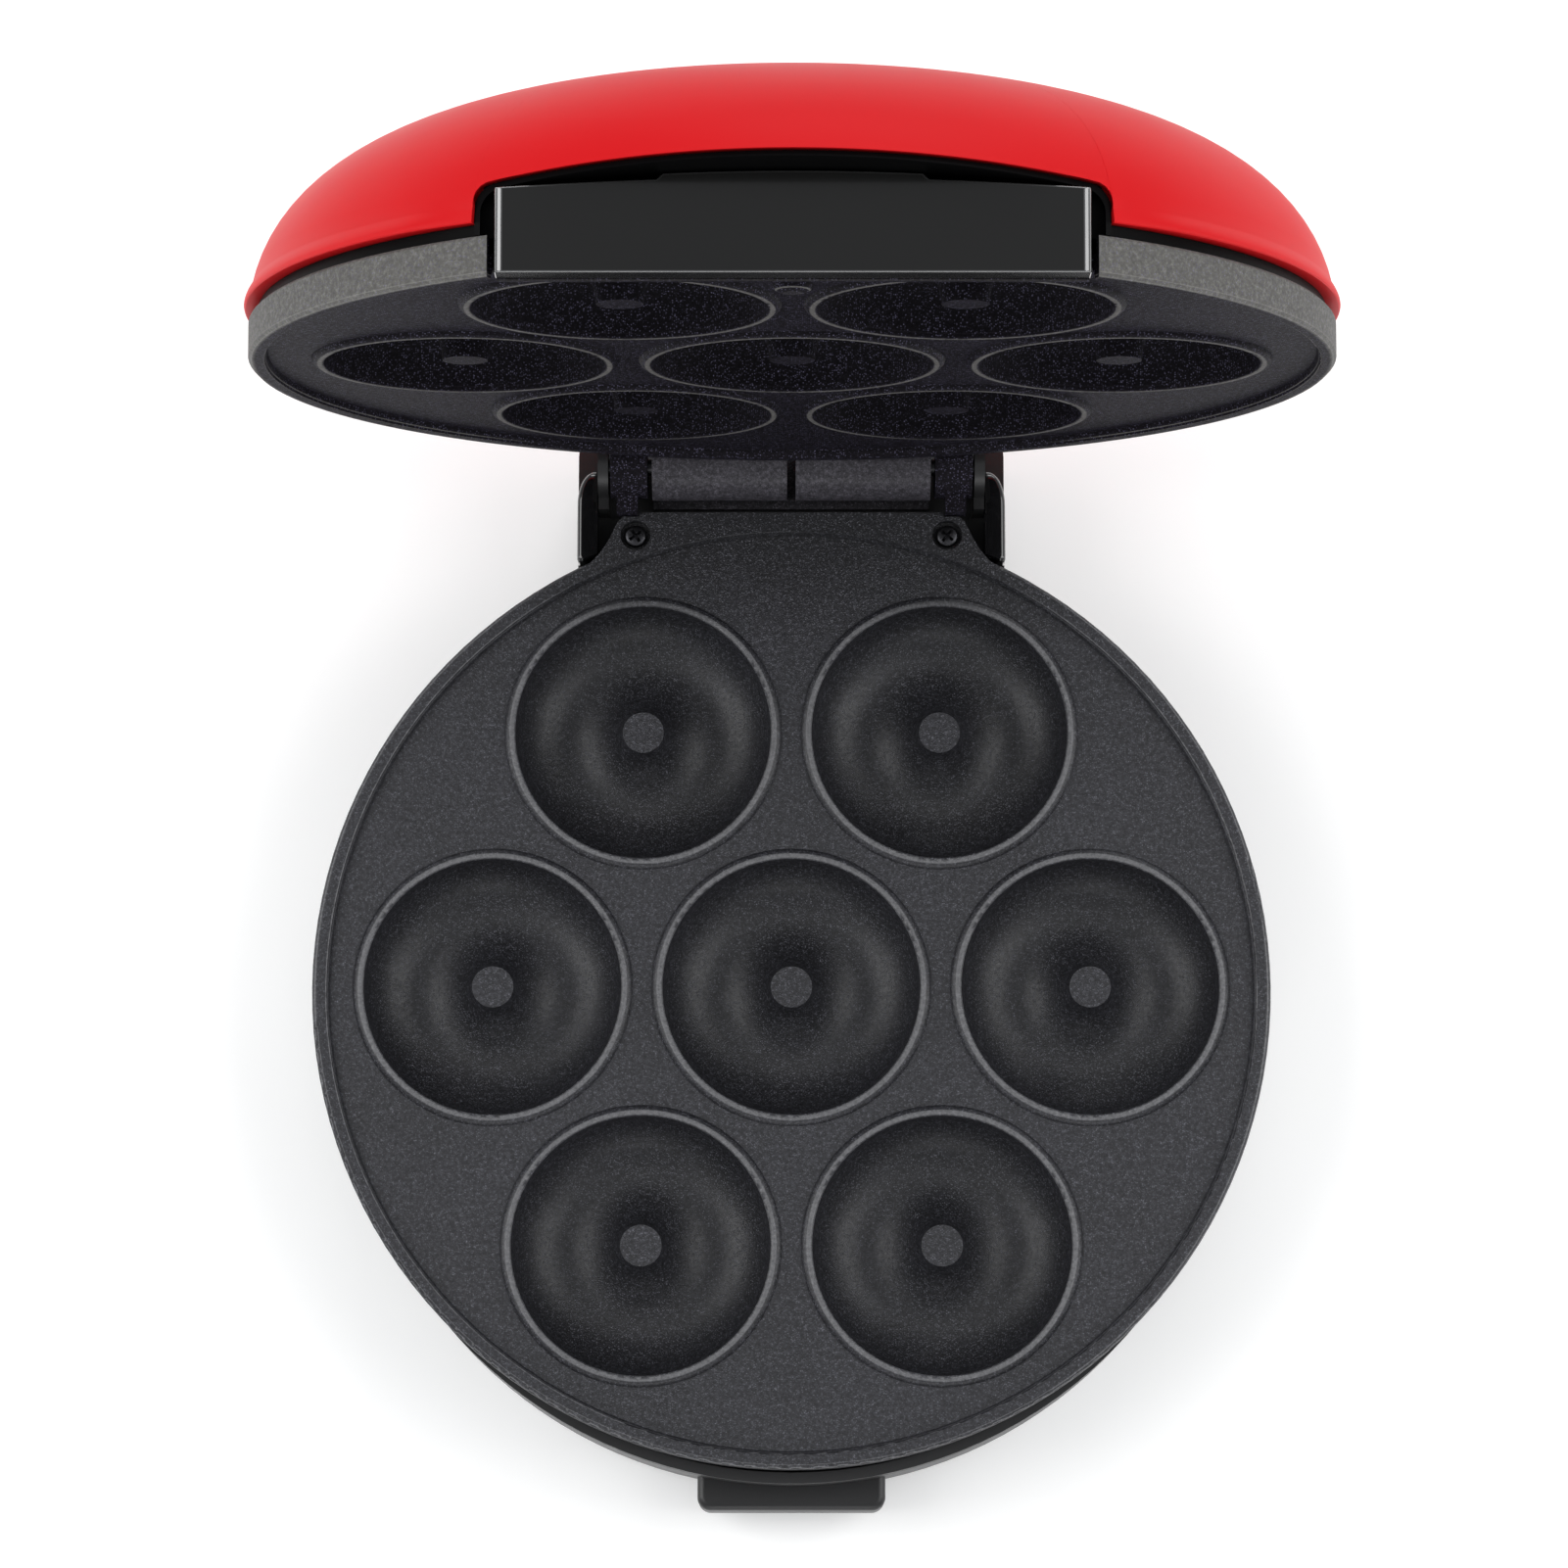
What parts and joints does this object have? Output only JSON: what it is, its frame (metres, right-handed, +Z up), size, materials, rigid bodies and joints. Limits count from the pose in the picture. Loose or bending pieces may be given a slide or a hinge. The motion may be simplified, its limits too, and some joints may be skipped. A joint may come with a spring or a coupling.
{
  "type": "donut maker",
  "caption": "Round clamshell donut maker with ring-shaped cavities round centre posts in two hinged cast cooking plates, a domed red lid and a recessed front handle.",
  "frame": {"origin": "on the table under the middle of the open appliance: the centre of the bounding box's underside, in the plane of the feet", "axes": "+Z up; -Y towards the front, where the lift tab and the handle are; +Y towards the hinge; X along the hinge"},
  "size_m": [0.2292, 0.2862, 0.28],
  "materials": {
    "black_housing": "satin moulded",
    "coated_casting": "die cast with speckled non-stick coating",
    "element_sheath": "annealed tube",
    "reflector_steel": "aluminised sheet",
    "plated_screw": "zinc plated",
    "black_screw": "black oxide",
    "phenolic": "moulded",
    "fuse_case": "drawn case",
    "terminal_ceramic": "unglazed",
    "lead_insulation": "braided sleeve",
    "foot_rubber": "moulded",
    "gland_rubber": "moulded",
    "pin_steel": "ground",
    "gloss_black": "polished moulding",
    "red_cover": "satin gloss",
    "liner_black": "moulded",
    "handle_black": "polished moulding",
    "lens_red": "translucent",
    "lens_green": "translucent",
    "lamp_glass": "clear"
  },
  "bodies": {
    "base": {"base_housing": "black_housing", "base_leads": "lead_insulation", "base_screws": "plated_screw", "cord_gland": "gland_rubber", "hinge_block": "coated_casting", "hinge_block_screws": "plated_screw", "hinge_cap_left": "gloss_black", "hinge_cap_right": "gloss_black", "hinge_pins": "pin_steel", "ledge_screws": "black_screw", "lower_cooking_plate": "coated_casting", "lower_heating_element": "element_sheath", "lower_reflector": "reflector_steel", "lower_reflector_screws": "plated_screw", "rubber_feet": "foot_rubber", "terminal_block": "terminal_ceramic", "thermal_fuse": "fuse_case", "thermostat": "phenolic"},
    "lid": {"lid_cover": "red_cover", "lid_liner": "liner_black", "upper_cooking_plate": "coated_casting", "upper_heating_element": "element_sheath", "upper_reflector": "reflector_steel", "upper_reflector_screws": "plated_screw", "lid_handle": "handle_black", "handle_screws": "plated_screw", "cover_screws": "plated_screw", "lid_plate_screws": "plated_screw", "power_lens": "lens_red", "ready_lens": "lens_green", "power_lamp": "lamp_glass", "ready_lamp": "lamp_glass", "lid_leads": "lead_insulation"}
  },
  "joints": [
    {"name": "lid_hinge", "type": "hinge", "parent": "base", "child": "lid", "pos_m": [0, 0.09761, 0.046], "axis": [1, 0, 0], "range_deg": [0, 86]}
  ]
}
